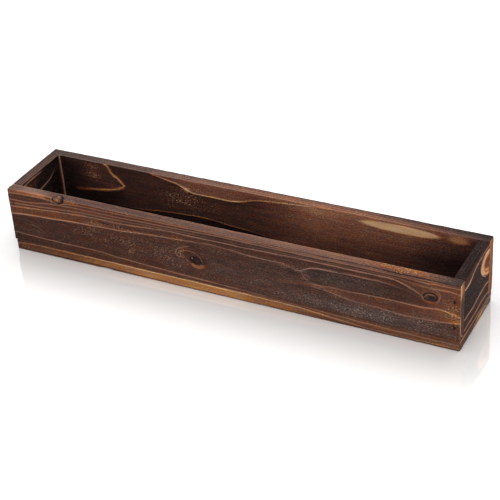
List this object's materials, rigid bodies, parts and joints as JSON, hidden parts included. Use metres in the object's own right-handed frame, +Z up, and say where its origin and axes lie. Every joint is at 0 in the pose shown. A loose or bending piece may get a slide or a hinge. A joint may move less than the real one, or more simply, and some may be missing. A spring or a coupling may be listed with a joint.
{
  "type": "window box planter",
  "caption": "Long open-topped wooden window box planter, scorched softwood boards butt-jointed and nailed, drained bottom.",
  "frame": {"origin": "middle of the footprint, on the surface that the box stands on", "axes": "+X along the length towards the right end, +Y from the front board to the back board, +Z up"},
  "size_m": [0.61, 0.114, 0.09],
  "materials": {
    "front_board": "scorched, brushed and thinly oiled softwood",
    "back_board": "scorched, brushed and thinly oiled softwood",
    "end_board": "deeply scorched and brushed softwood",
    "bottom_board": "lightly scorched and brushed softwood",
    "brad": "galvanised wire, dulled by scorching"
  },
  "bodies": {
    "root": {"front_board": "front_board", "back_board": "back_board", "left_end_board": "end_board", "right_end_board": "end_board", "bottom_board": "bottom_board", "corner_brad_front_left_upper": "brad", "corner_brad_front_left_lower": "brad", "corner_brad_front_right_upper": "brad", "corner_brad_front_right_lower": "brad", "corner_brad_back_left_upper": "brad", "corner_brad_back_left_lower": "brad", "corner_brad_back_right_upper": "brad", "corner_brad_back_right_lower": "brad", "bottom_brad_front_1": "brad", "bottom_brad_front_2": "brad", "bottom_brad_front_3": "brad", "bottom_brad_front_4": "brad", "bottom_brad_back_1": "brad", "bottom_brad_back_2": "brad", "bottom_brad_back_3": "brad", "bottom_brad_back_4": "brad", "bottom_brad_left_1": "brad", "bottom_brad_left_2": "brad", "bottom_brad_right_1": "brad", "bottom_brad_right_2": "brad"}
  },
  "joints": []
}
